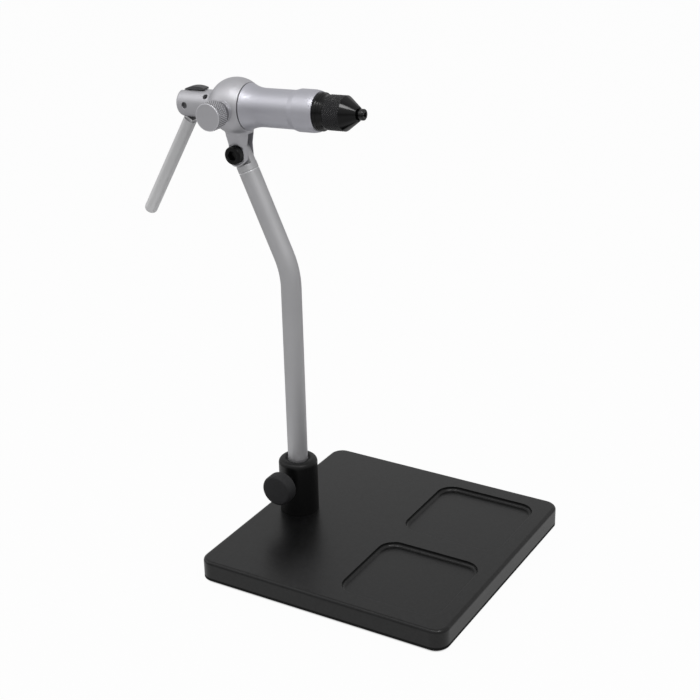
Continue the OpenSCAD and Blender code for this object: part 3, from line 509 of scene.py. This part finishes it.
# the socket's radius is a hexagon's, apothem over the cosine of the angle to the nearest flat; outside,
# a lathe with a straight knurl of cosine ribs round the head
def makePivotScrew(p):
    turn = turnsRound(p["columns"])
    toFlat = (turn * 6 - np.floor(turn * 6) - 0.5) * np.pi / 3
    hexRadius = p["hexCorner"] * math.cos(math.pi / 6) / np.cos(toFlat)
    socketAlong = np.array([[p["socketFloor"]], [p["socketFloor"]], [p["socketMouth"]], [p["crown"]]])
    share = np.array([[p["floorShare"]], [1.0], [1.0], [0.0]])
    socket = np.where(share > 0, share * hexRadius, p["mouthRadius"])
    start, end, crest = p["knurl"]
    mouth = [(p["crown"], p["mouthRadius"], 0)]
    band = bandRows(end, start, crest, p["knurlRows"])
    outline = roundCorners(np.concatenate([mouth, p["rim"], band, p["shank"]]))[1:]
    along, radius = outline[:, :1], outline[:, 1:]
    ribs = p["knurlDepth"] * (0.5 - 0.5 * np.cos(2 * np.pi * p["knurlCount"] * turn))
    before, after = p["bandPast"]
    inBand = (along >= start - before) & (along <= end + after) & (radius > crest - p["bandBelow"])
    radius = np.concatenate([socket, radius - np.where(inBand, ribs, 0)])
    along = np.concatenate([socketAlong, along])
    addPiece(p, spinAbout(pivotOrigin, -headY, headX, along, radius, turn))


makePivotScrew(pivotScrew)

# clamp stud: distances from the post's axis towards the tyer
clampStud = {
    "name": "clampStudThread", "node": "clamp_stud", "body": "clamp_screw", "slot": "steel",
    "finish": "plainSteel", "sharp": 60, "columns": 64,
    "start": 8.25, "end": 22.15, "radius": 2.93, "depth": 0.5, "pitch": 1.0, "rowsPerPitch": 12,
    "flankSlope": 2.4, "crestFlat": 0.1, "runOut": 0.7,
}


# screw thread: the radius falls by a triangle wave of the place along the axis less the turn, with flat crests
# and roots, fading at both ends
def makeClampStud(c):
    rows = int((c["end"] - c["start"]) / c["pitch"] * c["rowsPerPitch"])
    along = np.linspace(c["start"], c["end"], rows)[:, None]
    turn = turnsRound(c["columns"])
    wave = along / c["pitch"] - turn
    fade = np.clip(np.minimum(along - c["start"], c["end"] - along) / c["runOut"], 0, 1)
    groove = np.clip(c["flankSlope"] * np.abs(wave - np.round(wave)) - c["crestFlat"], 0, 1)
    radius = c["radius"] - c["depth"] * fade * groove
    addPiece(c, spinAbout(clampOrigin, (0, -1, 0), (1, 0, 0), along, radius, turn))


makeClampStud(clampStud)

# return spring inside the barrel, along the head's axis
returnSpring = {
    "name": "returnSpringWound", "node": "return_spring", "body": "barrel", "slot": "steel",
    "finish": "plainSteel", "sharp": 60, "columns": 12,
    "start": 15.2, "end": 36.3, "coilRadius": 4.1, "wireRadius": 0.4, "curls": 8, "rowsPerCurl": 40, "keep": 0.88,
}


# tube on a helix: a circle of the wire's radius stands square to the helix's direction at each row
def makeReturnSpring(s):
    t = np.linspace(0, s["curls"], s["curls"] * s["rowsPerCurl"] + 1)[:, None]
    a = 2 * np.pi * t
    pitch = (s["end"] - s["start"]) / s["curls"]
    lead = math.atan(pitch / (2 * math.pi * s["coilRadius"]))
    w = 2 * np.pi * turnsRound(s["columns"])
    out, up = s["wireRadius"] * np.cos(w), s["wireRadius"] * np.sin(w)
    along = s["start"] + pitch * t + up * math.cos(lead)
    across = (s["coilRadius"] + out) * np.cos(a) + up * math.sin(lead) * np.sin(a)
    high = (s["coilRadius"] + out) * np.sin(a) - up * math.sin(lead) * np.cos(a)
    grid = headOrigin + mm * (along[..., None] * headX + across[..., None] * headY + high[..., None] * headZ)
    spring = addPiece(s, grid)
    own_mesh(spring)


makeReturnSpring(returnSpring)
print("pieces made")

# floor: half its side and how far it lies below the part in metres, greys, reach of the contact shadow in
# metres, and the share of the glow that mirrored rays see by metres from the middle
floorSet = {
    "half": 6.0, "drop": 0.0002, "paint": 0.5, "seenWhite": 0.97, "contact": 0.0012, "contactSamples": 8,
    "mirrorRings": [(0.0, 0.5), (0.15, 0.5), (0.25, 0.0), (0.5, 0.0), (0.75, 0.2)],
}


def setStops(ramp, levels):  # grey levels of a ramp
    stops = ramp.color_ramp.elements
    while len(stops) < len(levels):
        stops.new(0.5)
    for stop, (place, level) in zip(stops, levels):
        stop.position = place
        stop.color = (level, level, level, 1)


# lit paint under a white glow: the camera sees almost only the glow, darkened by a narrow contact shadow, and
# mirrored rays see it near the object
def makeFloor(s):
    h, z = s["half"], -s["drop"]
    mesh = bpy.data.meshes.new("floor")
    mesh.from_pydata([(-h, -h, z), (h, -h, z), (h, h, z), (-h, h, z)], [], [(0, 1, 2, 3)])
    floor = bpy.data.objects.new("floor", mesh)
    bpy.context.scene.collection.objects.link(floor)
    m = bpy.data.materials.new("paleFloor")
    m.use_nodes = True
    tree = m.node_tree
    tree.nodes.clear()
    out = addNode(tree, "OutputMaterial")
    paint = addNode(tree, "BsdfDiffuse", {"Color": (s["paint"],) * 3 + (1,)})
    shadow = addNode(tree, "AmbientOcclusion", {"Distance": s["contact"]}, samples=s["contactSamples"])
    glow = addNode(tree, "Emission", {"Strength": 1.0})
    joinNodes(tree, shadow, "Color", glow, "Color")
    path = addNode(tree, "LightPath")
    seen = addNode(tree, "Math", operation="MAXIMUM")
    joinNodes(tree, path, "Is Camera Ray", seen, 0)
    joinNodes(tree, path, "Is Transmission Ray", seen, 1)
    direct = addNode(tree, "Math", {1: s["seenWhite"]}, operation="MULTIPLY")
    joinNodes(tree, seen, 0, direct, 0)
    coords = addNode(tree, "TexCoord")
    reach = addNode(tree, "VectorMath", operation="LENGTH")
    joinNodes(tree, coords, "Object", reach, "Vector")
    rings = addNode(tree, "ValToRGB")
    setStops(rings, s["mirrorRings"])
    joinNodes(tree, reach, "Value", rings, "Fac")
    mirrored = addNode(tree, "Math", operation="MULTIPLY")
    joinNodes(tree, path, "Is Glossy Ray", mirrored, 0)
    joinNodes(tree, rings, "Color", mirrored, 1)
    share = addNode(tree, "Math", operation="MAXIMUM")
    joinNodes(tree, direct, 0, share, 0)
    joinNodes(tree, mirrored, 0, share, 1)
    mix = addNode(tree, "MixShader")
    joinNodes(tree, share, 0, mix, 0)
    joinNodes(tree, paint, 0, mix, 1)
    joinNodes(tree, glow, 0, mix, 2)
    joinNodes(tree, mix, 0, out, 0)
    mesh.materials.append(m)


# room light by height above the horizon: an even sweep behind the object, and a screen at middle height
# on the tyer's side
roomLevels = {
    "back": [(0.0, 0.28), (0.1, 0.37), (0.2, 0.52), (0.3, 0.72), (0.4, 0.86), (0.5, 0.60), (0.6, 0.52), (0.72, 0.60),
             (0.82, 0.70), (1.0, 0.55)],
    "front": [(0.0, 0.25), (0.1, 0.23), (0.2, 0.41), (0.3, 0.54), (0.4, 0.61), (0.65, 0.75), (0.82, 0.51),
              (1.0, 0.3)],
    "blend": 0.35,
}


def makeRoomSide(tree, parts, levels):
    ramp = addNode(tree, "ValToRGB")
    setStops(ramp, levels)
    joinNodes(tree, parts, "Z", ramp, "Fac")
    light = addNode(tree, "Background", {"Strength": 1.0})
    joinNodes(tree, ramp, "Color", light, "Color")
    return light


# the camera sees plain white, and all other rays see the room
def makeWorld(r):
    world = bpy.data.worlds.new("studio")
    bpy.context.scene.world = world
    world.use_nodes = True
    tree = world.node_tree
    tree.nodes.clear()
    out = addNode(tree, "OutputWorld")
    path = addNode(tree, "LightPath")
    white = addNode(tree, "Background", {"Color": (1, 1, 1, 1), "Strength": 1.0})
    coords = addNode(tree, "TexCoord")
    parts = addNode(tree, "SeparateXYZ")
    joinNodes(tree, coords, "Generated", parts, "Vector")
    side = addNode(tree, "MapRange", {"From Min": -r["blend"], "From Max": r["blend"]},
                   interpolation_type="SMOOTHSTEP")
    joinNodes(tree, parts, "Y", side, "Value")
    room = addNode(tree, "MixShader")
    joinNodes(tree, side, "Result", room, 0)
    joinNodes(tree, makeRoomSide(tree, parts, r["front"]), 0, room, 1)
    joinNodes(tree, makeRoomSide(tree, parts, r["back"]), 0, room, 2)
    mix = addNode(tree, "MixShader")
    joinNodes(tree, path, "Is Camera Ray", mix, 0)
    joinNodes(tree, room, 0, mix, 1)
    joinNodes(tree, white, 0, mix, 2)
    joinNodes(tree, mix, 0, out, 0)


# square lamps: places and sizes in metres, power in watts, all aimed at one point
lampAim = (-0.06, 0.0, 0.2)
lamps = {
    "keyLamp": {"place": (-0.060, -0.530, 1.210), "size": 0.2, "power": 2.1},
    "rightSoftbox": {"place": (0.620, -0.380, 1.170), "size": 0.3, "power": 3.4},
    "leftSoftbox": {"place": (-0.634, -0.459, 1.084), "size": 0.6, "power": 0.8},
    "overSoftbox": {"place": (-0.06, 0.0, 1.35), "size": 1.0, "power": 0.4},
    "sideSoftbox": {"place": (-1.10, -0.347, 0.547), "size": 0.8, "power": 1.2},
}


def makeLamp(name, s):
    data = bpy.data.lights.new(name, "AREA")
    data.shape = "SQUARE"
    data.size = s["size"]
    data.energy = s["power"]
    lamp = bpy.data.objects.new(name, data)
    lamp.location = s["place"]
    lamp.rotation_euler = (Vector(lampAim) - Vector(s["place"])).to_track_quat("-Z", "Y").to_euler()
    bpy.context.scene.collection.objects.link(lamp)


makeFloor(floorSet)
makeWorld(roomLevels)
for name, lampSet in lamps.items():
    makeLamp(name, lampSet)
print("stage set")
